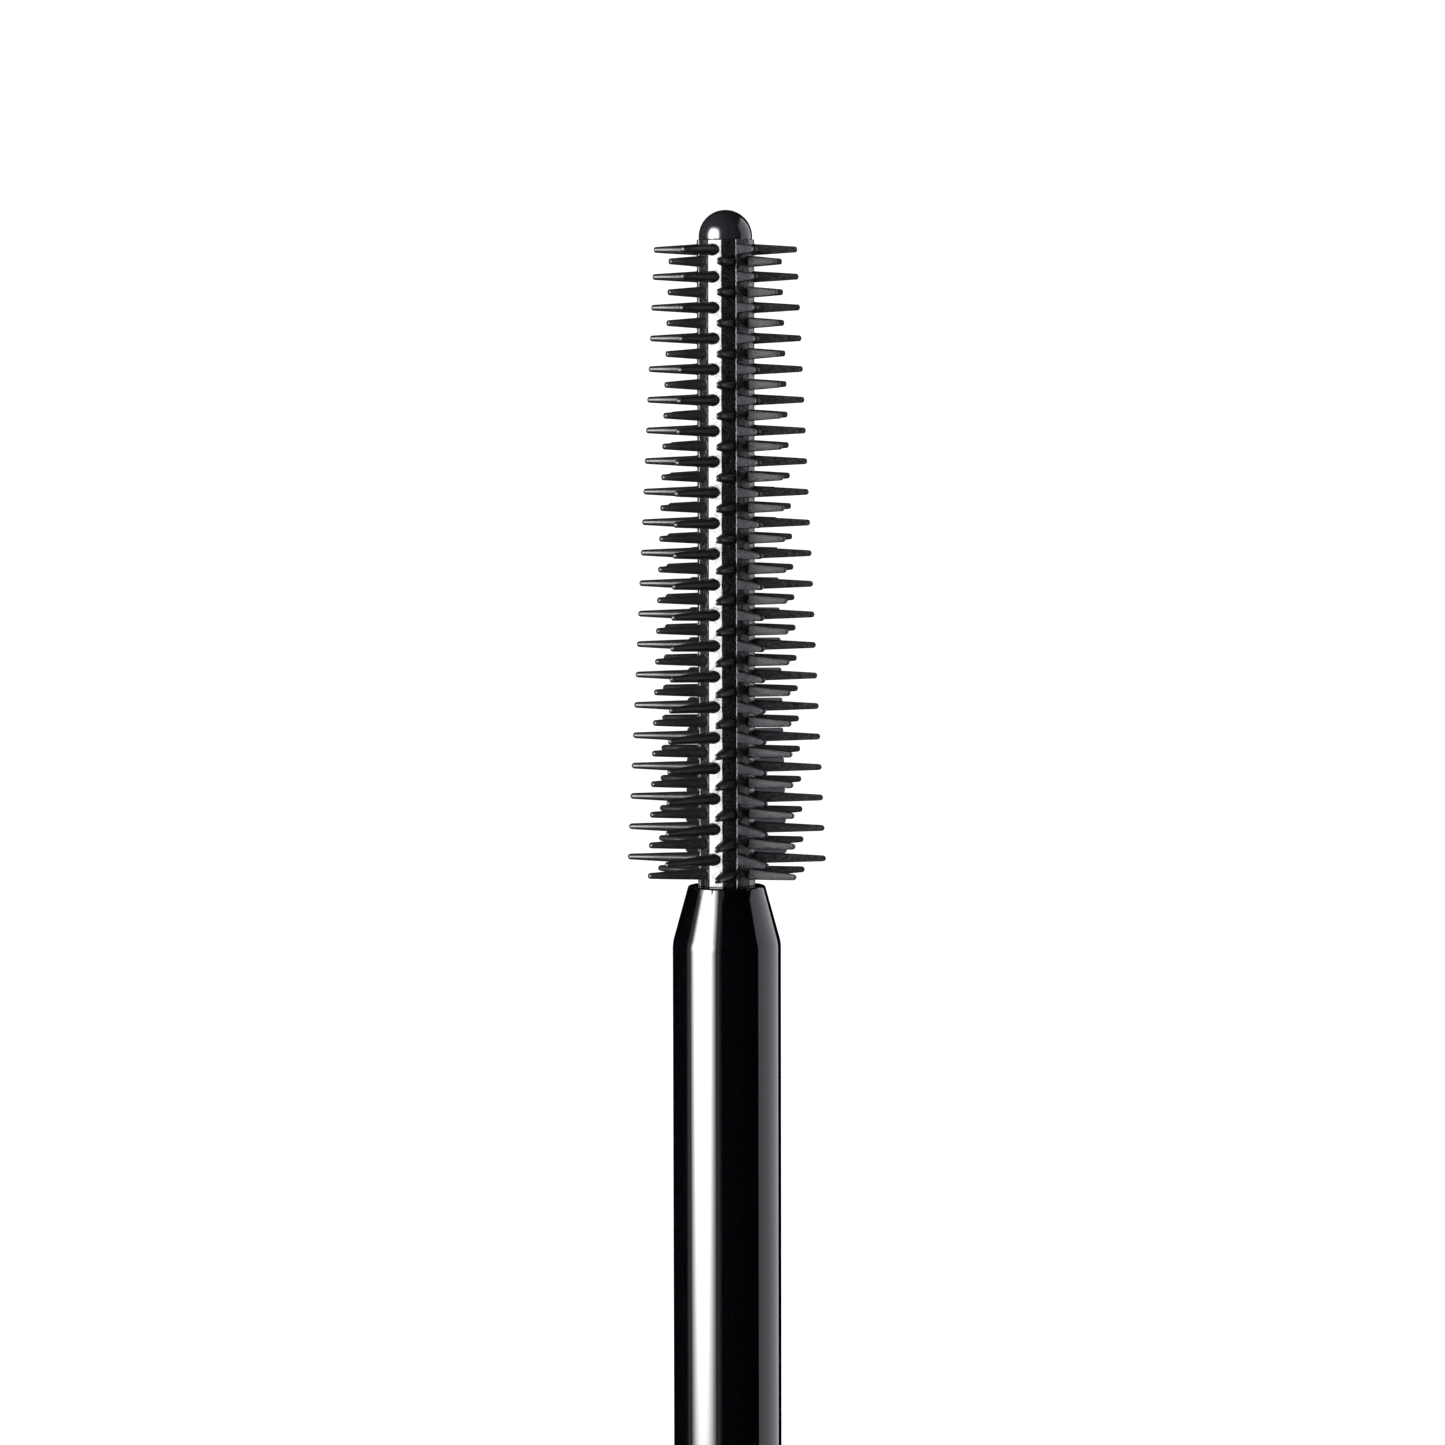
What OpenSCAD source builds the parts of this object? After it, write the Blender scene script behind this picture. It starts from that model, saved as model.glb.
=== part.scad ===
// Mascara applicator: a moulded brush on a hollow stem, carried by a screw cap that is also its handle.
// Millimetres. +Z runs up the wand's axis. The origin is the centre of the cap's flat closed end,
// on which the wand stands with its brush uppermost. -Y is the front.

/* [Cap] */
// Outer radius of the cap shell
cap_r = 8.25; // [7.5:0.05:10]
// Height of the cap, from its closed end to its mouth
cap_h = 52; // [46:1:60]
// Wall of the cap shell
cap_wall = 0.8; // [0.6:0.1:1.2]
// Radius of the cap's outer edge at the closed end
cap_edge = 0.6; // [0.3:0.1:0.7]
// Thickness of the disc that closes the cap
disc_t = 1.5; // [1:0.1:2.5]
// Height of the steel slug that gives the cap its heft
weight_h = 10; // [4:1:14]

/* [Screw closure] */
// Depth of the socket that takes a bottle's neck
socket_h = 12.5; // [10:0.5:14]
// Radius of the socket's wall, at the root of its thread
socket_r = 6.3; // [6:0.05:6.6]
// How far the thread stands in from the wall
thread_depth = 0.5; // [0.3:0.05:0.6]
// Rise of the thread in one turn
thread_pitch = 2.5; // [2:0.1:3]
// Turns of thread
thread_turns = 1.5; // [1:0.25:2]
// Number of splines that grip the cap shell
spline_count = 12; // [8:1:20]
// Thickness of the sealing washer
washer_t = 1; // [0.6:0.1:1.5]

/* [Stem] */
// Radius of the stem
stem_r = 2.1; // [1.9:0.05:2.4]
// Radius of the stem at its rim, where the brush leaves it
stem_rim_r = 1.51; // [1.35:0.01:1.6]
// Length of the cone that ends the stem
stem_cone_h = 2.23; // [1.5:0.01:4]
// Length of stem from the cap's mouth to the rim
stem_reach = 38; // [30:1:50]

/* [Brush] */
// Length of the bristle sleeve, from the stem's rim to the domed tip
sleeve_h = 24.93; // [24.6:0.01:28]
// Radius of the twelve-sided sleeve, over its edges
sleeve_r = 1.1; // [1.05:0.01:1.15]
// Radius of the domed tip
dome_r = 1.03; // [0.95:0.01:1.05]
// Radius of the pin inside the sleeve, over its edges
pin_r = 0.62; // [0.5:0.01:0.7]
// Radius over the long bristles beside the stem
brush_base_r = 3.92; // [3.5:0.01:4.5]
// Radius over the long bristles beside the tip
brush_tip_r = 2.76; // [2.4:0.01:3.2]
// Length of a short bristle's reach, as a share of a long one's
short_share = 0.845; // [0.7:0.005:1]
// Bristles in each row
row_count = 21; // [10:1:21]
// Distance between two bristles of a row
bristle_pitch = 1.18; // [1.1:0.01:1.19]
// Radius of a bristle at its root
root_r = 0.25; // [0.2:0.01:0.3]
// Radius of a bristle at its tip
tip_r = 0.12; // [0.08:0.01:0.14]

/* [Hidden] */
$fn = 48;
slack = 0.01;
bore_r = cap_r - cap_wall;
mouth_recess = 0.5;
closure_top = cap_h - mouth_recess;
seat_z = closure_top - socket_h;
floor_t = 1.5;
skirt_wall = 0.7;
skirt_r = socket_r + skirt_wall;
skirt_bottom = seat_z - 16;
spline_w = 0.8;
spline_run_in = 1;
boss_r = 3.4;
boss_bottom = seat_z - 11;
flange_r = 3.4;
flange_t = 0.8;
bead_h = 0.8;
bead_rise = 0.15;
thread_facets = 24;
thread_root_h = 1.1;
thread_crest_h = 0.5;
thread_lead = 4;
thread_bite = 0.1;
washer_gap = 0.1;
washer_r = 6.1;
rim_z = cap_h + stem_reach;
rim_edge = 0.08;
stem_bottom = seat_z - 10;
hollow_r = 1.2;
shank_r = 0.95;
shank_h = 8;
shank_bead_r = 1.02;
shank_bead_z = 3.5;
shank_bead_h = 0.6;
shank_floor = 1.5;
dome_band = 0.11;
side_count = 12;
sector = 360 / side_count;
first_row_turn = -128;
tip_clearance = 0.39;
first_step = 1.04;
first_long_z = sleeve_h - tip_clearance;
second_long_z = first_long_z - first_step;
root_offset = 0.15;
tip_offset = 0.06;
root_depth = 0.15;

// Points of a quarter round of radius r about [x, z], from angle a to angle a + 90.
function quarter(x, z, r, a) = [for (i = [0:6]) [x + r * cos(a + 15 * i), z + r * sin(a + 15 * i)]];

// Reach from the axis of a long bristle whose root is z above the stem's rim.
function long_reach(z) = brush_base_r + (brush_tip_r - brush_base_r) * z / sleeve_h;

// Height above the rim of bristle i of a long row. The first is crowded down by the domed tip.
function long_z(i) = i == 0 ? first_long_z : second_long_z - (i - 1) * bristle_pitch;

// Height above the rim of bristle i of a short row: half a pitch below the long ones.
function short_z(i) = second_long_z - (i - 0.5) * bristle_pitch;

// Profile of a snap bead: a low ridge of height h about z, standing rise out of radius r.
function bead(r, z, h, rise) = [[r, z - h / 2], [r + rise, z - h / 6], [r + rise, z + h / 6], [r, z + h / 2]];

// The moulded tube that is the cap's outside: open at both ends, with a rounded outer edge at its foot.
module cap_shell() {
    color("black")
    rotate_extrude()
    polygon(concat(
        [[bore_r, cap_h], [bore_r, 0]],
        quarter(cap_r - cap_edge, cap_edge, cap_edge, -90),
        quarter(cap_r - cap_edge / 2, cap_h - cap_edge / 2, cap_edge / 2, 0)
    ));
}

// The disc that is pressed into the shell's foot, and on which the wand stands.
module cap_end_disc() {
    color("black")
    cylinder(h = disc_t, r = bore_r);
}

// The steel slug pressed in behind the disc, with a blind hole by which it is picked up.
module cap_weight() {
    color("silver")
    translate([0, 0, disc_t])
    difference() {
        cylinder(h = weight_h, r = bore_r);
        translate([0, 0, weight_h / 2]) cylinder(h = weight_h, r = hollow_r * 2);
    }
}

// One ridge of thread inside the socket. Both its ends run out into the wall.
module thread_ridge() {
    steps = round(thread_turns * thread_facets);
    rise = thread_pitch / thread_facets;
    half_root = thread_root_h / 2;
    half_crest = thread_crest_h / 2;
    outer = socket_r + thread_bite;
    function shown(i) = min(1, i / thread_lead, (steps - i) / thread_lead);
    function crest(i) = socket_r + thread_bite / 2 - (thread_depth + thread_bite / 2) * shown(i);
    function ring(i) = [
        [outer, -half_root], [crest(i), -half_crest], [crest(i), half_crest], [outer, half_root]
    ];
    points = [
        for (i = [0:steps], p = ring(i))
            let (turn = i * 360 / thread_facets) [p[0] * cos(turn), p[0] * sin(turn), p[1] + i * rise]
    ];
    sides = [
        for (i = [0:steps - 1], k = [0:3])
            let (a = 4 * i + k, b = 4 * i + (k + 1) % 4)
            each [[b + 4, b, a], [a + 4, b + 4, a]]
    ];
    last = 4 * steps;
    ends = [[0, 1, 2], [0, 2, 3], [last + 2, last + 1, last], [last + 3, last + 2, last]];
    polyhedron(points = points, faces = concat(sides, ends));
}

// The screw closure: a threaded socket above, a skirt with splines that grips the shell below,
// and between them a floor with the boss that holds the stem.
module inner_cap() {
    thread_z = seat_z + washer_t + 3;
    color("dimgray")
    union() {
        difference() {
            translate([0, 0, skirt_bottom]) cylinder(h = closure_top - skirt_bottom, r = skirt_r);
            translate([0, 0, seat_z]) cylinder(h = cap_h, r = socket_r);
            translate([0, 0, skirt_bottom - 1]) cylinder(h = seat_z - floor_t - skirt_bottom + 1, r = socket_r);
            translate([0, 0, boss_bottom]) cylinder(h = cap_h, r = stem_r);
        }
        difference() {
            translate([0, 0, boss_bottom]) cylinder(h = seat_z - floor_t - boss_bottom, r = boss_r);
            stem_socket();
        }
        for (i = [0:spline_count - 1])
            rotate([0, 0, i * 360 / spline_count])
            spline();
        translate([0, 0, thread_z]) thread_ridge();
    }
}

// The bore that the stem is pressed into, with grooves for its two snap beads.
module stem_socket() {
    rotate_extrude()
    polygon(concat(
        [[0, boss_bottom - 1], [stem_r, boss_bottom - 1]],
        bead(stem_r, stem_bottom + 3, bead_h, bead_rise),
        bead(stem_r, stem_bottom + 6, bead_h, bead_rise),
        [[stem_r, seat_z + 1], [0, seat_z + 1]]
    ));
}

// One spline on the closure, reaching to the shell's bore.
module spline() {
    length = closure_top - skirt_bottom - 2 * spline_run_in;
    intersection() {
        translate([skirt_r - skirt_wall / 2, -spline_w / 2, skirt_bottom + spline_run_in])
        cube([bore_r - skirt_r + skirt_wall, spline_w, length]);
        translate([0, 0, skirt_bottom]) cylinder(h = closure_top - skirt_bottom, r = bore_r);
    }
}

// The soft ring on the socket's floor, which the bottle's lip is screwed down on.
module seal_washer() {
    color("ivory")
    translate([0, 0, seat_z])
    difference() {
        cylinder(h = washer_t, r = washer_r);
        translate([0, 0, -1]) cylinder(h = washer_t + 2, r = flange_r + washer_gap);
    }
}

// The stem: a moulded tube with a flange and snap beads below, and a cone and a blind bore above.
module stem() {
    shank_bottom = rim_z - shank_h;
    color("black")
    rotate_extrude()
    polygon(concat(
        [[hollow_r, stem_bottom], [stem_r, stem_bottom]],
        bead(stem_r, stem_bottom + 3, bead_h, bead_rise),
        bead(stem_r, stem_bottom + 6, bead_h, bead_rise),
        [[stem_r, seat_z], [flange_r, seat_z], [flange_r, seat_z + flange_t], [stem_r, seat_z + flange_t]],
        [[stem_r, rim_z - stem_cone_h], [stem_rim_r, rim_z - rim_edge], [stem_rim_r - rim_edge, rim_z]],
        [[shank_r, rim_z]],
        [for (i = [3:-1:0]) bead(shank_r, rim_z - shank_bead_z, shank_bead_h, shank_bead_r - shank_r)[i]],
        [[shank_r, shank_bottom], [0, shank_bottom], [0, shank_bottom - shank_floor]],
        [[hollow_r, shank_bottom - shank_floor - hollow_r]]
    ));
}

// The brush's rigid core: a shank in the stem, a twelve-sided pin inside the sleeve, and the domed tip.
module brush_core() {
    color("black")
    union() {
        translate([0, 0, rim_z])
        rotate_extrude()
        polygon(concat(
            [[0, -shank_h], [shank_r, -shank_h]],
            bead(shank_r, -shank_bead_z, shank_bead_h, shank_bead_r - shank_r),
            [[shank_r, 0], [0, 0]]
        ));
        translate([0, 0, rim_z - slack])
        rotate([0, 0, first_row_turn])
        cylinder(h = sleeve_h + 2 * slack, r = pin_r, $fn = side_count);
        translate([0, 0, rim_z + sleeve_h]) cylinder(h = dome_band + slack, r = dome_r);
        translate([0, 0, rim_z + sleeve_h + dome_band])
        intersection() {
            sphere(r = dome_r);
            cylinder(h = 2 * dome_r, r = 2 * dome_r);
        }
    }
}

// The twelve-sided elastomer sleeve between the stem's rim and the dome. Each row stands on one of its sides.
module bristle_sleeve() {
    color("#1c1c1e")
    translate([0, 0, rim_z])
    rotate([0, 0, first_row_turn])
    difference() {
        cylinder(h = sleeve_h, r = sleeve_r, $fn = side_count);
        translate([0, 0, -1]) cylinder(h = sleeve_h + 2, r = pin_r, $fn = side_count);
    }
}

// One bristle's round cone before it is cut, along +X, with its root inside the sleeve.
// It leans a little, so that its flat side keeps about the same share of it from root to tip.
module bristle_cone(reach) {
    start = sleeve_r - root_depth;
    run = reach - start;
    growth = (root_r - tip_r) / (reach - sleeve_r);
    lean = atan((root_offset - tip_offset) / run);
    translate([start, root_offset, 0])
    rotate([0, 0, -lean])
    rotate([0, 90, 0])
    cylinder(h = run / cos(lean), r1 = root_r + growth * root_depth, r2 = tip_r);
}

// Row number k of bristles. Its flat sides lie in the plane through the axis and one edge of the sleeve.
// Long and short rows take turns.
module bristle_row(k) {
    is_long = k % 2 == 0;
    share = is_long ? 1 : short_share;
    color("#1c1c1e")
    translate([0, 0, rim_z])
    rotate([0, 0, first_row_turn + k * sector])
    difference() {
        intersection() {
            for (i = [0:row_count - 1]) {
                z = is_long ? long_z(i) : short_z(i);
                translate([0, 0, z]) bristle_cone(share * long_reach(z));
            }
            translate([0, 0, -1]) cube([brush_base_r + 1, 1, sleeve_h + 2]);
        }
        translate([0, 0, -1]) cylinder(h = sleeve_h + 2, r = sleeve_r, $fn = side_count);
    }
}

cap_shell();
cap_end_disc();
cap_weight();
inner_cap();
seal_washer();
stem();
brush_core();
bristle_sleeve();
for (k = [0:side_count - 1]) {
    bristle_row(k);
}
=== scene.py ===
import math

import bpy
from mathutils import Matrix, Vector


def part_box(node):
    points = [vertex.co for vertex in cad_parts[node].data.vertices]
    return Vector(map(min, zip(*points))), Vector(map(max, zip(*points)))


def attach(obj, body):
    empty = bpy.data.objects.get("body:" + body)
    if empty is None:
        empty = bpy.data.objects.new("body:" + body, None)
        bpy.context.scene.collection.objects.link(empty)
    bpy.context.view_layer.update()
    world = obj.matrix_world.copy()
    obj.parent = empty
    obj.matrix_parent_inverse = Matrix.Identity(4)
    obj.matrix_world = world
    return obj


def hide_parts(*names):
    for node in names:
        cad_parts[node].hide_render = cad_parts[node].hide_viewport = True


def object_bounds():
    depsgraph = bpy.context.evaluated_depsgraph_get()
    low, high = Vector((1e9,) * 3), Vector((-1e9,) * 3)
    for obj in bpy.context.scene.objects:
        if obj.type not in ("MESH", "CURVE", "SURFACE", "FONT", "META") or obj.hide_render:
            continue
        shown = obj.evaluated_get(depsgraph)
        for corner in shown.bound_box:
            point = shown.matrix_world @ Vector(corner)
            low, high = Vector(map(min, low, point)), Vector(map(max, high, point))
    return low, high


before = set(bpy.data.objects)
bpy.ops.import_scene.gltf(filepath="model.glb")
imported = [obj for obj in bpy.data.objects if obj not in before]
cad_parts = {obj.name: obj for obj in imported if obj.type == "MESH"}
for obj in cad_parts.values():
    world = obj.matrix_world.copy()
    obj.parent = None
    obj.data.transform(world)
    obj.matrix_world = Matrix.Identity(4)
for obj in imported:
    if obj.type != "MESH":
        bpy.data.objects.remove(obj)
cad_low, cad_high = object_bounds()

mm = 0.001


# ---- Camera ----
# A close shot of the brush from the front. The lens is level with the brush's upper end and looks a
# little down, so the camera's frame ends half way down the stem.
lens_to_axis = 219.8 * mm
lens_below_tip = 3.84 * mm
lens_left_of_axis = 0.15 * mm
look_down = math.radians(4.14)
lean = math.radians(-0.12)
half_view = math.radians(7.225)
sensor = 36

camera_data = bpy.data.cameras.new("close_shot")
camera_data.sensor_width = sensor
camera_data.lens = sensor / 2 / math.tan(half_view)
camera_data.clip_start = lens_to_axis / 10
camera = bpy.data.objects.new("close_shot", camera_data)
bpy.context.scene.collection.objects.link(camera)
bpy.context.scene.camera = camera
camera.matrix_world = (
    Matrix.Translation((-lens_left_of_axis, -lens_to_axis, cad_high.z - lens_below_tip))
    @ Matrix.Rotation(math.radians(90) - look_down, 4, "X")
    @ Matrix.Rotation(lean, 4, "Z")
)
bpy.context.scene.view_settings.view_transform = "Standard"


# ---- Air, floor and soft panels ----
# White paper all round, which the black plastic doesn't mirror: in the studio black flags stand
# between them. What the plastic mirrors is one bright soft panel at the front left, its dim
# surround, and a grey card at the right and behind.
def srgb(code):
    """The linear colour, with its alpha, of an sRGB hex code."""
    shares = [int(code[i:i + 2], 16) / 255 for i in (1, 3, 5)]
    return [c / 12.92 if c <= 0.04045 else ((c + 0.055) / 1.055) ** 2.4 for c in shares] + [1]


def add_node(tree, kind, settings, links=()):
    """Adds a node with its settings, which are properties or input values, and its input links."""
    node = tree.nodes.new(kind)
    for name, value in dict(settings).items():
        if isinstance(name, int) or name in node.inputs:
            node.inputs[name].default_value = value
        else:
            setattr(node, name, value)
    for name, source in dict(links).items():
        tree.links.new(source, node.inputs[name])
    return node


air = bpy.data.worlds.new("paper_white_air")
bpy.context.scene.world = air
air.use_nodes = True
air_tree = air.node_tree
air_tree.nodes.clear()
ray = add_node(air_tree, "ShaderNodeLightPath", {})
white_air = add_node(
    air_tree, "ShaderNodeBackground", {"Color": srgb("#ffffff"), "Strength": 1.15}
)
flagged_air = add_node(air_tree, "ShaderNodeBackground", {"Color": srgb("#000000")})
mixed_air = add_node(air_tree, "ShaderNodeMixShader", {}, {"Fac": ray.outputs["Is Glossy Ray"]})
air_tree.links.new(white_air.outputs[0], mixed_air.inputs[1])
air_tree.links.new(flagged_air.outputs[0], mixed_air.inputs[2])
add_node(air_tree, "ShaderNodeOutputWorld", {}, {"Surface": mixed_air.outputs[0]})

floor_radius = 2.5
paper_grain = 4 * mm
bpy.ops.object.select_all(action="DESELECT")
bpy.ops.mesh.primitive_circle_add(vertices=64, radius=floor_radius, fill_type="NGON")
floor = bpy.context.object
floor.name = "paper_floor"
floor.visible_glossy = False
paper = bpy.data.materials.new("matt_white_paper")
paper.use_nodes = True
paper.node_tree.nodes.clear()
paper_place = add_node(paper.node_tree, "ShaderNodeTexCoord", {})
paper_fibre = add_node(
    paper.node_tree, "ShaderNodeTexNoise",
    {"Scale": 1 / paper_grain, "Detail": 4},
    {"Vector": paper_place.outputs["Object"]},
)
paper_tone = add_node(
    paper.node_tree, "ShaderNodeMapRange",
    {"To Min": 0.93, "To Max": 0.96},
    {"Value": paper_fibre.outputs["Fac"]},
)
paper_face = add_node(
    paper.node_tree, "ShaderNodeBsdfDiffuse", {}, {"Color": paper_tone.outputs["Result"]}
)
add_node(paper.node_tree, "ShaderNodeOutputMaterial", {}, {"Surface": paper_face.outputs[0]})
floor.data.materials.append(paper)

panel_distance = 260 * mm


def soft_panel(
    name, bearings, distance, heights, radiance, fades, left_share=1, cut=1, tint="#ffffff"
):
    """An upright glowing panel between two bearings, in degrees to the right of the camera.

    fades are the shares of its width that its glow fades over at the left and right, and the shares
    of its height at the foot and top. The glow grows from left_share of the radiance at the left end
    to all of it at the right, and is cut off level at its cut share.
    """
    from_bearing, to_bearing = bearings
    foot, top = heights
    bearing = math.radians((from_bearing + to_bearing) / 2)
    width = 2 * distance * math.tan(math.radians(to_bearing - from_bearing) / 2)
    bpy.ops.object.select_all(action="DESELECT")
    bpy.ops.mesh.primitive_plane_add(size=1)
    panel = bpy.context.object
    panel.name = name
    panel.matrix_world = (
        Matrix.Rotation(bearing, 4, "Z")
        @ Matrix.Translation((0, -distance, (foot + top) / 2))
        @ Matrix.Rotation(math.radians(90), 4, "X")
        @ Matrix.Diagonal((width, top - foot, 1, 1))
    )
    panel.visible_camera = False
    panel.visible_shadow = False
    glow = bpy.data.materials.new(name + "_glow")
    glow.use_nodes = True
    tree = glow.node_tree
    tree.nodes.clear()
    spot = add_node(tree, "ShaderNodeTexCoord", {})
    along = add_node(tree, "ShaderNodeSeparateXYZ", {}, {"Vector": spot.outputs["Object"]})
    power = add_node(
        tree, "ShaderNodeMapRange",
        {"From Min": -0.5, "From Max": 0.5, "To Min": left_share * radiance, "To Max": radiance},
        {"Value": along.outputs["X"]},
    )
    for direction, edge, share in zip("XXYY", (-0.5, 0.5, -0.5, 0.5), fades):
        fade = add_node(
            tree, "ShaderNodeMapRange",
            {
                "interpolation_type": "SMOOTHSTEP",
                "From Min": edge, "From Max": edge - math.copysign(share, edge),
            },
            {"Value": along.outputs[direction]},
        )
        power = add_node(
            tree, "ShaderNodeMath",
            {"operation": "MULTIPLY"},
            {0: power.outputs[0], 1: fade.outputs[0]},
        )
    level = add_node(
        tree, "ShaderNodeMath", {"operation": "MINIMUM", 1: cut * radiance}, {0: power.outputs[0]}
    )
    light = add_node(
        tree, "ShaderNodeEmission", {"Color": srgb(tint)}, {"Strength": level.outputs[0]}
    )
    add_node(tree, "ShaderNodeOutputMaterial", {}, {"Surface": light.outputs[0]})
    panel.data.materials.append(glow)


soft_panel(
    "bright_panel", (-86, -21), panel_distance, (-40 * mm, 330 * mm), 80, (0.45, 0.45, 0.43, 0.57),
    cut=0.38,
)
soft_panel(
    "bright_panel_surround", (-98, -10), 1.1 * panel_distance, (-80 * mm, 380 * mm), 1.5,
    (0.26, 0.26, 0.25, 0.25), tint="#f7f8ff",
)
soft_panel(
    "grey_card", (70, 141), panel_distance, (-60 * mm, 420 * mm), 2.4,
    (0.015, 0.015, 0.05, 0.2), left_share=0.55, tint="#f5f4ff",
)


# ---- Cap end disc ----
# A flat disc of black ABS, moulded glossy and pressed into the foot of the cap. The wand stands on it.
def turned(name, profile, sides=96):
    """A closed turned solid, drawn ring by ring through the (radius, height) points of its profile.

    A profile that comes back to its first point is a ring. Any other is closed at both ends.
    """
    radius, height = profile[0]
    bpy.ops.object.select_all(action="DESELECT")
    bpy.ops.mesh.primitive_circle_add(vertices=sides, radius=radius, location=(0, 0, height))
    piece = bpy.context.object
    piece.name = name
    bpy.ops.object.transform_apply(location=True)
    bpy.ops.object.mode_set(mode="EDIT")
    for next_radius, next_height in profile[1:]:
        bpy.ops.mesh.extrude_region_move(
            TRANSFORM_OT_translate={"value": (0, 0, next_height - height)}
        )
        bpy.ops.transform.resize(
            value=(next_radius / radius, next_radius / radius, 1),
            center_override=(0, 0, next_height),
        )
        radius, height = next_radius, next_height
    bpy.ops.mesh.select_all(action="SELECT")
    bpy.ops.mesh.remove_doubles(threshold=0.0005 * mm)
    bpy.ops.mesh.fill_holes(sides=0)
    bpy.ops.mesh.normals_make_consistent(inside=False)
    bpy.ops.object.mode_set(mode="OBJECT")
    return piece


def soften(piece, width, segments=3, angle=25):
    """Rounds a piece's sharp edges and shades the rest of it smooth."""
    bpy.ops.object.select_all(action="DESELECT")
    bpy.context.view_layer.objects.active = piece
    piece.select_set(True)
    bpy.ops.object.modifier_add(type="BEVEL")
    bevel = piece.modifiers[-1]
    bevel.width = width
    bevel.segments = segments
    bevel.limit_method = "ANGLE"
    bevel.angle_limit = math.radians(angle)
    bpy.ops.object.modifier_apply(modifier=bevel.name)
    bpy.ops.object.shade_smooth_by_angle(angle=math.radians(angle))


def place(piece, node, slot, *materials):
    """Gives a finished piece its materials and its place on the wand, in the stead of a CAD node."""
    for material in materials:
        piece.data.materials.append(material)
    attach(piece, "root")
    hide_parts(node)


def moulded(
    name, base, fleck, roughness, rougher, grain, grain_depth, wave, wave_depth, ior=1.5, specular=0.5
):
    """A moulded plastic. Its colour runs from base to fleck and its roughness from one to the other.

    grain is the size of the mould's fine texture and wave that of the sink and flow under it. A
    specular under 0.5 stands for the gloss that a coarse grain swallows.
    """
    material = bpy.data.materials.new(name)
    material.use_nodes = True
    tree = material.node_tree
    tree.nodes.clear()
    spot = add_node(tree, "ShaderNodeTexCoord", {})
    fine = add_node(
        tree, "ShaderNodeTexNoise",
        {"Scale": 1 / grain, "Detail": 3, "Roughness": 0.6},
        {"Vector": spot.outputs["Object"]},
    )
    slow = add_node(
        tree, "ShaderNodeTexNoise",
        {"Scale": 1 / wave, "Detail": 1},
        {"Vector": spot.outputs["Object"]},
    )
    speck = add_node(
        tree, "ShaderNodeMapRange",
        {"From Min": 0.35, "From Max": 0.65},
        {"Value": fine.outputs["Fac"]},
    )
    colour = add_node(
        tree, "ShaderNodeMixRGB",
        {"Color1": srgb(base), "Color2": srgb(fleck)},
        {"Fac": speck.outputs["Result"]},
    )
    dullness = add_node(
        tree, "ShaderNodeMapRange",
        {"To Min": roughness, "To Max": rougher},
        {"Value": speck.outputs["Result"]},
    )
    sink = add_node(
        tree, "ShaderNodeBump", {"Strength": 1, "Distance": wave_depth}, {"Height": slow.outputs["Fac"]}
    )
    skin = add_node(
        tree, "ShaderNodeBump",
        {"Strength": 1, "Distance": grain_depth},
        {"Height": fine.outputs["Fac"], "Normal": sink.outputs["Normal"]},
    )
    surface = add_node(
        tree, "ShaderNodeBsdfPrincipled",
        {"IOR": ior, "Specular IOR Level": specular},
        {
            "Base Color": colour.outputs["Color"],
            "Roughness": dullness.outputs["Result"],
            "Normal": skin.outputs["Normal"],
        },
    )
    add_node(tree, "ShaderNodeOutputMaterial", {}, {"Surface": surface.outputs["BSDF"]})
    return material


# ABS from a polished mould: a deep black with a sharp gloss and a faint roll in it.
glossy_abs = moulded(
    "black_abs_high_gloss", "#020203", "#050506", 0.04, 0.07,
    0.08 * mm, 0.0001 * mm, 5 * mm, 0.006 * mm, ior=1.54,
)
disc_low, disc_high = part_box("cap_end_disc")
disc = turned("end_disc", [
    (disc_high.x, disc_low.z),
    (disc_high.x, disc_high.z),
])
soften(disc, 0.12 * mm)
place(disc, "cap_end_disc", "cap", glossy_abs)


# ---- Cap weight ----
# A slug of mild steel, turned on a lathe and pressed in behind the disc. Nothing of it shows.
# The coarse, shallow grooves are guessed; the wave texture runs 20 radians to a unit of its scale.
groove_spacing = 0.4 * math.pi * mm
waves_per_scale = 20 / (2 * math.pi)
turned_steel = bpy.data.materials.new("turned_mild_steel")
turned_steel.use_nodes = True
steel_tree = turned_steel.node_tree
steel_tree.nodes.clear()
steel_place = add_node(steel_tree, "ShaderNodeTexCoord", {})
steel_feed = add_node(
    steel_tree, "ShaderNodeTexWave",
    {"bands_direction": "Z", "Scale": 1 / (groove_spacing * waves_per_scale), "Distortion": 0.4},
    {"Vector": steel_place.outputs["Object"]},
)
steel_grooves = add_node(
    steel_tree, "ShaderNodeBump",
    {"Strength": 0.6, "Distance": 0.01 * mm},
    {"Height": steel_feed.outputs["Fac"]},
)
steel_dullness = add_node(
    steel_tree, "ShaderNodeMapRange",
    {"To Min": 0.25, "To Max": 0.4},
    {"Value": steel_feed.outputs["Fac"]},
)
steel_face = add_node(
    steel_tree, "ShaderNodeBsdfPrincipled",
    {"Base Color": srgb("#b9bbbe"), "Metallic": 1},
    {"Normal": steel_grooves.outputs["Normal"], "Roughness": steel_dullness.outputs["Result"]},
)
add_node(steel_tree, "ShaderNodeOutputMaterial", {}, {"Surface": steel_face.outputs["BSDF"]})
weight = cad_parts["cap_weight"]
weight.data.materials.clear()
weight.data.materials.append(turned_steel)


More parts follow.
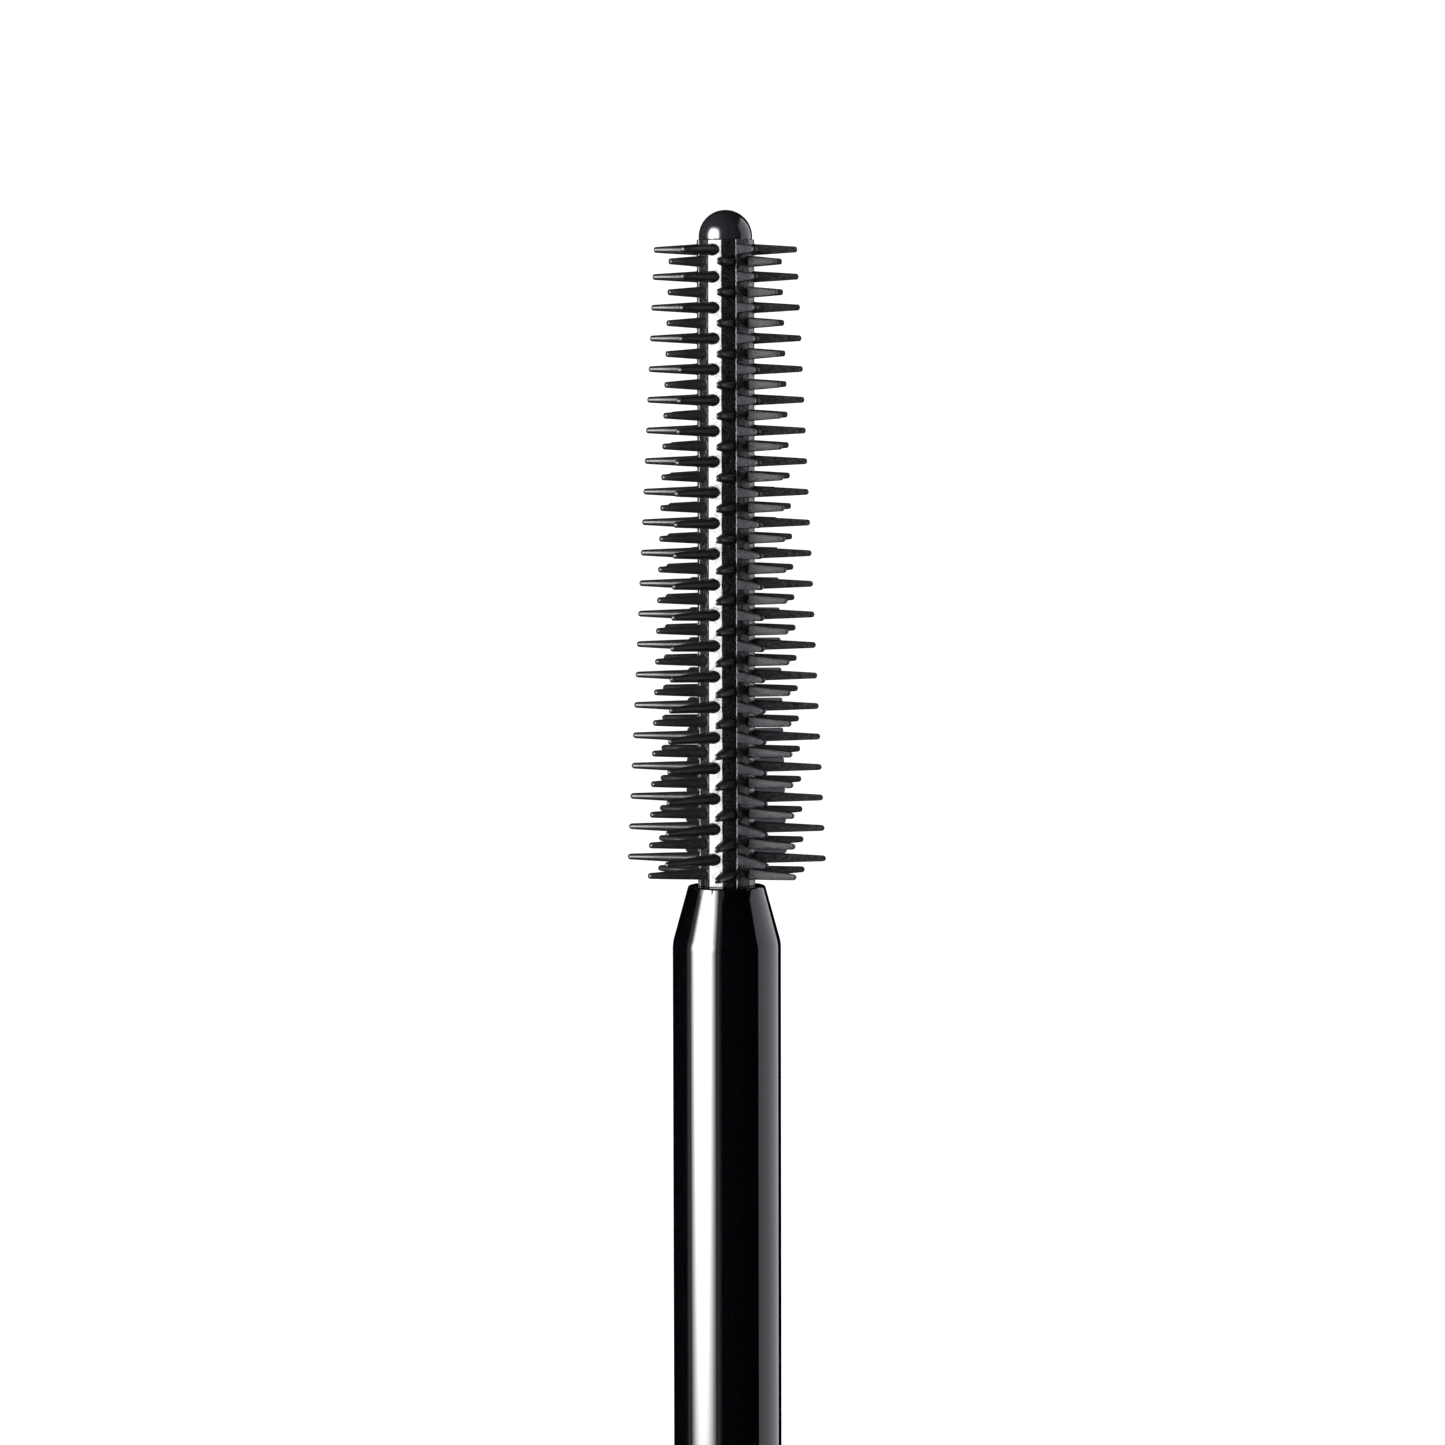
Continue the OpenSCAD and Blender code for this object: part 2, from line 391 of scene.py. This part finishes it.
# ---- Cap shell ----
# The outside of the cap: a thin tube of black ABS, moulded glossy, with a round foot and mouth.
shell_low, shell_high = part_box("cap_shell")
shell_bore = disc_high.x
foot_round = 0.6 * mm
mouth_round = 0.3 * mm
arc_steps = 6


def arc(radius, height, bend, start, end):
    """Points of a round of radius bend about (radius, height), between two angles in degrees."""
    angles = [math.radians(start + (end - start) * i / arc_steps) for i in range(arc_steps + 1)]
    return [(radius + bend * math.cos(a), height + bend * math.sin(a)) for a in angles]


shell = turned("cap_tube", (
    [(shell_bore, shell_high.z), (shell_bore, shell_low.z)]
    + arc(shell_high.x - foot_round, shell_low.z + foot_round, foot_round, -90, 0)
    + arc(shell_high.x - mouth_round, shell_high.z - mouth_round, mouth_round, 0, 90)
    + [(shell_bore, shell_high.z)]
), sides=160)
soften(shell, 0.04 * mm, angle=40)
place(shell, "cap_shell", "cap", glossy_abs)


# ---- Inner cap ----
# The screw closure of black polypropylene, plain from the mould: a threaded socket, splines that
# grip the shell, and the boss that holds the stem. It shows in the cap's mouth.
closure_pp = moulded(
    "black_polypropylene_plain", "#121213", "#19191b", 0.34, 0.46,
    0.07 * mm, 0.002 * mm, 2 * mm, 0.004 * mm, ior=1.49,
)
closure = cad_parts["inner_cap"]
closure.data.materials.clear()
closure.data.materials.append(closure_pp)


# ---- Seal washer ----
# A ring of foamed polyethylene on the socket's floor, stamped from sheet.
foamed_pe = moulded(
    "natural_foamed_polyethylene", "#d9d4c4", "#efece2", 0.55, 0.75,
    0.15 * mm, 0.02 * mm, 1.5 * mm, 0.01 * mm,
)
washer_low, washer_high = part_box("seal_washer")
washer_bore = 3.5 * mm
washer = turned("foam_washer", [
    (washer_bore, washer_low.z),
    (washer_high.x, washer_low.z),
    (washer_high.x, washer_high.z),
    (washer_bore, washer_high.z),
    (washer_bore, washer_low.z),
])
soften(washer, 0.06 * mm)
place(washer, "seal_washer", "washer", foamed_pe)


# ---- Stem ----
# A tube of black acetal from a polished mould, coned at its end. Its flange and two snap beads hold
# it in the closure, and its blind upper bore takes the brush's shank.
acetal = moulded(
    "black_acetal_polished", "#000001", "#020202", 0.025, 0.04,
    0.1 * mm, 0.00005 * mm, 6 * mm, 0.002 * mm, ior=1.48,
)
stem_low, stem_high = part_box("stem")
rim = stem_high.z
stem_radius = 2.1 * mm
hollow_radius = 1.2 * mm
flange_thickness = 0.8 * mm
cone_length = 2.23 * mm
cone_blend = 1.5 * mm
rim_radius = 1.51 * mm
rim_edge = 0.1 * mm
shank_radius = 0.95 * mm
shank_length = 8 * mm
shank_bead = 0.07 * mm
shank_bead_length = 0.6 * mm
shank_bead_depth = 3.5 * mm
stem_bead = 0.15 * mm
stem_bead_length = 0.8 * mm
stem_bead_heights = (3 * mm, 6 * mm)
bore_floor = 1.5 * mm
end_ring_radius = 0.02 * mm


def bead(radius, height, length, rise):
    """Profile of a low snap bead round a shaft, or of its groove in a bore."""
    return [
        (radius, height - length / 2),
        (radius + rise, height - length / 6),
        (radius + rise, height + length / 6),
        (radius, height + length / 2),
    ]


shank_groove = bead(shank_radius, rim - shank_bead_depth, shank_bead_length, shank_bead)
lower_bead, upper_bead = [
    bead(stem_radius, stem_low.z + height, stem_bead_length, stem_bead)
    for height in stem_bead_heights
]
cone_angle = math.atan2(stem_radius - rim_radius, cone_length)
blend_foot = rim - cone_length - cone_blend * math.tan(cone_angle / 2)
seat = washer_low.z
stem = turned("stem_tube", (
    [(end_ring_radius, rim - shank_length - bore_floor)]
    + [(hollow_radius, rim - shank_length - bore_floor - hollow_radius)]
    + [(hollow_radius, stem_low.z), (stem_radius, stem_low.z)]
    + lower_bead
    + upper_bead
    + [(stem_radius, seat), (stem_high.x, seat)]
    + [(stem_high.x, seat + flange_thickness), (stem_radius, seat + flange_thickness)]
    + arc(stem_radius - cone_blend, blend_foot, cone_blend, 0, math.degrees(cone_angle))
    + arc(rim_radius - rim_edge, rim - rim_edge, rim_edge, math.degrees(cone_angle), 90)
    + [(shank_radius, rim)]
    + shank_groove[::-1]
    + [(shank_radius, rim - shank_length), (end_ring_radius, rim - shank_length)]
), sides=160)
soften(stem, 0.05 * mm, angle=14)
place(stem, "stem", "stem", acetal)


# ---- Brush core ----
# The rigid core of black polypropylene, from a polished mould: a shank pressed into the stem, a
# twelve-sided pin inside the sleeve, and the round tip that ends the wand.
core_pp = moulded(
    "black_polypropylene_polished", "#08080a", "#111113", 0.07, 0.14,
    0.06 * mm, 0.0004 * mm, 1.2 * mm, 0.002 * mm, ior=1.49,
)
sleeve_low, sleeve_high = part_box("bristle_sleeve")
side_count = 12
side_angle = math.radians(360 / side_count)
first_edge = math.radians(-128)
pin_radius = 0.62 * mm
dome_radius = 1.03 * mm
dome_band = 0.11 * mm
core = turned("rigid_core", (
    [(end_ring_radius, rim - shank_length), (shank_radius, rim - shank_length)]
    + shank_groove
    + [(shank_radius, rim), (pin_radius, rim), (pin_radius, sleeve_high.z)]
    + [(dome_radius, sleeve_high.z)]
    + [
        (
            dome_radius * math.cos(math.radians(a)),
            sleeve_high.z + dome_band + dome_radius * math.sin(math.radians(a)),
        )
        for a in range(0, 90, 5)
    ]
), sides=120)
for vertex in core.data.vertices:
    reach = math.hypot(vertex.co.x, vertex.co.y)
    if abs(reach - pin_radius) < 0.001 * mm:
        turn = (math.atan2(vertex.co.y, vertex.co.x) - first_edge) % side_angle - side_angle / 2
        flat = math.cos(side_angle / 2) / math.cos(turn)
        vertex.co.x *= flat
        vertex.co.y *= flat
soften(core, 0.015 * mm, segments=2, angle=35)
place(core, "brush_core", "core", core_pp)


# ---- Bristle sleeve ----
# The soft tube that the bristles stand on, moulded over the core in the same black elastomer. It
# has twelve slightly crowned sides, and a fine ridge where each two parts of the mould meet. They
# are glossy and faintly dimpled, so they break up what they mirror.
sleeve_tpe = moulded(
    "black_elastomer_dimpled", "#010102", "#060607", 0.22, 0.32,
    0.08 * mm, 0.006 * mm, 0.3 * mm, 0.03 * mm,
)
sleeve_corner = 1.1 * mm
crown_radius = 4.1 * mm
ridge_half = math.radians(1.2)
ridge_height = 0.03 * mm
crown_steps = 8
steps_per_side = crown_steps + 2
half_chord = sleeve_corner * math.sin(side_angle / 2)
flat_reach = sleeve_corner * math.cos(side_angle / 2)
crown_centre = flat_reach - math.sqrt(crown_radius**2 - half_chord**2)
sleeve = turned("elastomer_sleeve", [
    (pin_radius, sleeve_low.z),
    (sleeve_corner, sleeve_low.z),
    (sleeve_corner, sleeve_high.z),
    (pin_radius, sleeve_high.z),
    (pin_radius, sleeve_low.z),
], sides=side_count * steps_per_side)
for vertex in sleeve.data.vertices:
    angle = math.atan2(vertex.co.y, vertex.co.x)
    step = round(angle / side_angle * steps_per_side)
    side, place_on_side = divmod(step, steps_per_side)
    if place_on_side == 0:
        turn = -side_angle / 2
    else:
        share = (place_on_side - 1) / crown_steps
        turn = (share - 0.5) * (side_angle - 2 * ridge_half)
    if math.hypot(vertex.co.x, vertex.co.y) > (pin_radius + sleeve_corner) / 2:
        crown = crown_centre * math.cos(turn) + math.sqrt(
            crown_radius**2 - (crown_centre * math.sin(turn))**2
        )
        reach = crown + (ridge_height if place_on_side == 0 else 0)
    else:
        reach = pin_radius * math.cos(side_angle / 2) / math.cos(turn)
    angle = first_edge + (side + 0.5) * side_angle + turn
    vertex.co.x = reach * math.cos(angle)
    vertex.co.y = reach * math.sin(angle)
soften(sleeve, 0.025 * mm, segments=2, angle=50)
bpy.ops.object.shade_smooth_by_angle(angle=math.radians(6))
place(sleeve, "bristle_sleeve", "bristle", sleeve_tpe)


# ---- Bristle rows ----
# Twelve straight rows of soft cones, one with the sleeve, from a mould with a fine spark-eroded
# grain. The mould parts along each row, so a bristle is flat on one side and round on the other.
round_side = moulded(
    "black_elastomer_satin", "#060607", "#0f0f10", 0.28, 0.42,
    0.06 * mm, 0.003 * mm, 0.7 * mm, 0.004 * mm, ior=1.48, specular=0.32,
)
flat_side = moulded(
    "black_elastomer_spark_eroded", "#070708", "#202023", 0.38, 0.52,
    0.1 * mm, 0.02 * mm, 0.7 * mm, 0.01 * mm, ior=1.48, specular=0.12,
)
row_count = 21
pitch = 1.18 * mm
first_long = 0.39 * mm
second_long = 1.43 * mm
reach_at_rim = 3.92 * mm
reach_at_dome = 2.76 * mm
short_share = 0.845
root_radius = 0.225 * mm
root_flare = 0.02 * mm
flare_fade = 0.09 * mm
tip_radius = 0.118 * mm
depth_share = 1.4
root_offset = 0.14 * mm
tip_offset = 0.06 * mm
buried = 0.15 * mm
root = sleeve_corner - buried
longest = reach_at_rim - root


def bristle_radius(distance):
    """Radius of the longest bristle at a distance along it from the sleeve's face."""
    bare = longest - buried
    cone = root_radius + (tip_radius - root_radius) * max(distance, 0) / bare
    return cone + root_flare * math.exp(-max(distance, 0) / flare_fade)


stations = [-buried, 0, 0.07 * mm, 0.16 * mm, 0.35 * mm, 1.4 * mm]
tip_steps = [(1, 0), (0.8, 0.6), (0.25, 0.97)]
rings = [(s, bristle_radius(s)) for s in stations]
rings += [(longest - buried - tip_radius * (1 - up), tip_radius * wide) for wide, up in tip_steps]
bpy.ops.object.select_all(action="DESELECT")
bpy.ops.mesh.primitive_circle_add(
    vertices=14, radius=rings[0][1], rotation=(0, math.radians(90), 0)
)
bristle = bpy.context.object
bristle.name = "bristle_pattern"
bpy.ops.object.transform_apply(rotation=True)
bpy.ops.object.mode_set(mode="EDIT")
bpy.ops.transform.resize(value=(1, depth_share, 1), center_override=(0, 0, 0))
bpy.ops.transform.translate(value=(root, root_offset, 0))
offset_slope = (tip_offset - root_offset) / longest
for (before, wide_before), (after, wide_after) in zip(rings, rings[1:]):
    step = after - before
    bpy.ops.mesh.extrude_region_move(
        TRANSFORM_OT_translate={"value": (step, step * offset_slope, 0)}
    )
    centre = (sleeve_corner + after, root_offset + (after + buried) * offset_slope, 0)
    bpy.ops.transform.resize(
        value=(1, wide_after / wide_before, wide_after / wide_before), center_override=centre
    )
bpy.ops.mesh.select_all(action="SELECT")
bpy.ops.mesh.fill_holes(sides=0)
bpy.ops.mesh.select_all(action="SELECT")
bpy.ops.mesh.bisect(
    plane_co=(0, 0, 0), plane_no=(0, 1, 0), use_fill=True, clear_inner=True, threshold=0.0001 * mm
)
bpy.ops.mesh.select_all(action="SELECT")
bpy.ops.mesh.normals_make_consistent(inside=False)
bpy.ops.object.mode_set(mode="OBJECT")
soften(bristle, 0.012 * mm, segments=1, angle=50)
bristle.data.materials.append(round_side)
bristle.data.materials.append(flat_side)
for face in bristle.data.polygons:
    face.material_index = int(face.normal.y < -0.99)


def row_of_bristles(name, heights, share):
    """Copies the bristle to each height along one row, as long as the row's taper makes it there."""
    copies = []
    for height in heights:
        tall = (height - rim) / (sleeve_high.z - rim)
        reach = share * (reach_at_rim + (reach_at_dome - reach_at_rim) * tall)
        copy = bristle.copy()
        copy.data = bristle.data.copy()
        bpy.context.scene.collection.objects.link(copy)
        copy.data.transform(
            Matrix.Translation((root, 0, height))
            @ Matrix.Diagonal(((reach - root) / longest, 1, 1, 1))
            @ Matrix.Translation((-root, 0, 0))
        )
        copies.append(copy)
    bpy.ops.object.select_all(action="DESELECT")
    for copy in copies:
        copy.select_set(True)
    bpy.context.view_layer.objects.active = copies[0]
    bpy.ops.object.join()
    copies[0].name = name
    return copies[0]


second_height = sleeve_high.z - second_long
long_heights = [sleeve_high.z - first_long]
long_heights += [second_height - i * pitch for i in range(row_count - 1)]
short_heights = [second_height - (i - 0.5) * pitch for i in range(row_count)]
patterns = [
    row_of_bristles("long_row_pattern", long_heights, 1),
    row_of_bristles("short_row_pattern", short_heights, short_share),
]
for number in range(side_count):
    pattern = patterns[number % 2]
    row = pattern.copy()
    row.data = pattern.data.copy()
    row.name = f"bristles_{number + 1:02d}"
    bpy.context.scene.collection.objects.link(row)
    row.data.transform(Matrix.Rotation(first_edge + number * side_angle, 4, "Z"))
    place(row, f"bristle_row_{number + 1:02d}", "bristle")
for pattern in [bristle, *patterns]:
    bpy.data.objects.remove(pattern)
